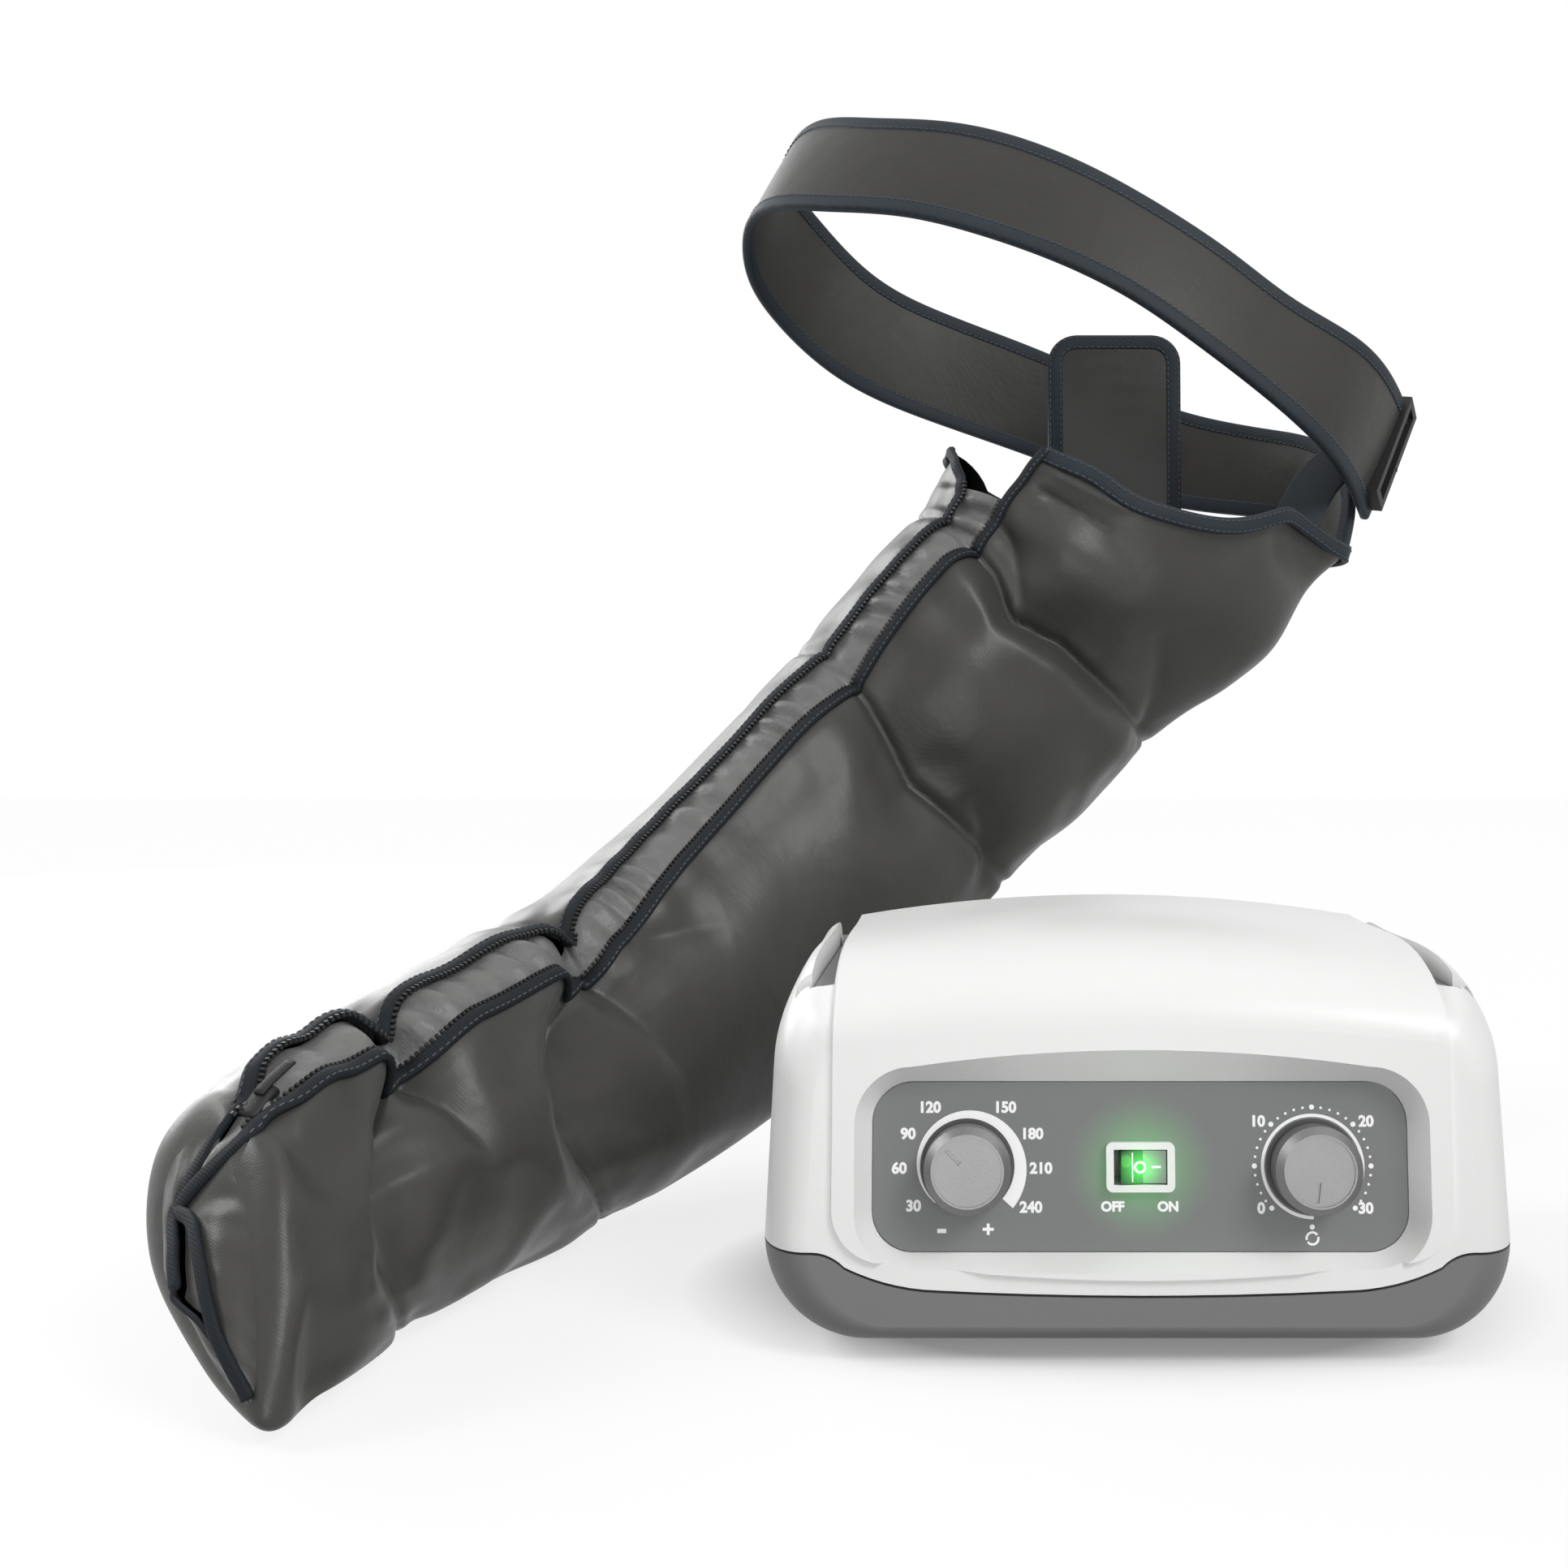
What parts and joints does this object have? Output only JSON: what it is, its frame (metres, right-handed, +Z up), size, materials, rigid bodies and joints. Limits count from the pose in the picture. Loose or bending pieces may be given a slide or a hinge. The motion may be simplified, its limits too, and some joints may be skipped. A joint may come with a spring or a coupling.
{
  "type": "arm compression massager",
  "caption": "Air arm massager: a rounded tabletop control unit with pressure and time dials, a lit rocker and a folding handle, and an inflated zip-up arm sleeve with a shoulder strap.",
  "frame": {"origin": "on the floor, in the middle of the footprint of unit and sleeve together", "axes": "+Z up, +X to the right as seen from the front, and the unit's front panel faces -Y"},
  "size_m": [0.4809, 0.5548, 0.511],
  "materials": {
    "white_shell": "satin",
    "grey_shell": "fine grain",
    "steel": "plain",
    "black_rubber": "matt",
    "panel_grey": "matt, printed in white",
    "satin_metal": "satin, turned",
    "brass": "plain",
    "inner_plastic": "moulded",
    "green_lens": "clear, lit from inside",
    "handle_grey": "fine grain",
    "pump_metal": "cast",
    "core_steel": "lacquered",
    "black_plastic": "satin",
    "board_green": "lacquered",
    "sleeve_fabric": "satin woven, coated",
    "binding_fabric": "ribbed, stitched",
    "zip_tape": "woven with moulded teeth",
    "gusset_fabric": "satin woven"
  },
  "bodies": {
    "set": {"upper_casing": "white_shell", "base_casing": "grey_shell", "casing_screws": "steel", "rubber_feet": "black_rubber", "front_panel": "panel_grey", "pressure_regulator": "brass", "time_switch": "inner_plastic", "panel_nuts": "brass", "switch_housing": "white_shell", "switch_terminals": "brass", "handle_pins": "steel", "air_pump": "pump_metal", "pump_bushes": "black_rubber", "valve_motor": "core_steel", "valve_cup": "inner_plastic", "valve_lid": "inner_plastic", "supply_tube": "black_rubber", "outlet_tubes": "black_rubber", "air_outlet_block": "black_plastic", "mains_inlet": "black_plastic", "inlet_pins": "brass", "circuit_board": "board_green", "transformer": "core_steel", "hand_chamber": "sleeve_fabric", "forearm_chamber": "sleeve_fabric", "elbow_chamber": "sleeve_fabric", "upper_arm_chamber": "sleeve_fabric", "shoulder_chamber": "sleeve_fabric", "mouth_binding": "binding_fabric", "hand_end": "sleeve_fabric", "hand_binding": "binding_fabric", "zip_tape_near": "zip_tape", "zip_tape_far": "zip_tape", "zip_gusset": "gusset_fabric", "zip_slider": "black_plastic", "hose_inlet": "black_plastic", "shoulder_strap": "sleeve_fabric", "strap_buckle": "black_plastic", "strap_loop": "sleeve_fabric", "shoulder_tab": "sleeve_fabric"},
    "pressure_dial": {"pressure_knob": "satin_metal", "pressure_shaft": "steel"},
    "time_dial": {"time_knob": "satin_metal", "time_shaft": "steel"},
    "rocker": {"rocker": "green_lens"},
    "handle": {"carry_handle": "handle_grey"},
    "distributor_rotor": {"valve_rotor": "inner_plastic"}
  },
  "joints": [
    {"name": "pressure_turn", "type": "hinge", "parent": "set", "child": "pressure_dial", "pos_m": [0.00403, -0.19793, 0.0577], "axis": [0, -0.9945, 0.1045], "range_deg": [-180, 90]},
    {"name": "time_turn", "type": "hinge", "parent": "set", "child": "time_dial", "pos_m": [0.10997, -0.19793, 0.0577], "axis": [0, -0.9945, 0.1045], "range_deg": [-300, 8]},
    {"name": "rocker_tip", "type": "hinge", "parent": "set", "child": "rocker", "pos_m": [0.057, -0.19355, 0.05724], "axis": [0, 0.1045, 0.9945], "range_deg": [-16, 0]},
    {"name": "handle_swing", "type": "hinge", "parent": "set", "child": "handle", "pos_m": [0.057, -0.177, 0.1045], "axis": [1, 0, 0], "range_deg": [0, 92]},
    {"name": "distributor_turn", "type": "hinge", "parent": "set", "child": "distributor_rotor", "pos_m": [0.11503, -0.09097, 0.03], "axis": [0, 0, 1], "continuous": true}
  ]
}
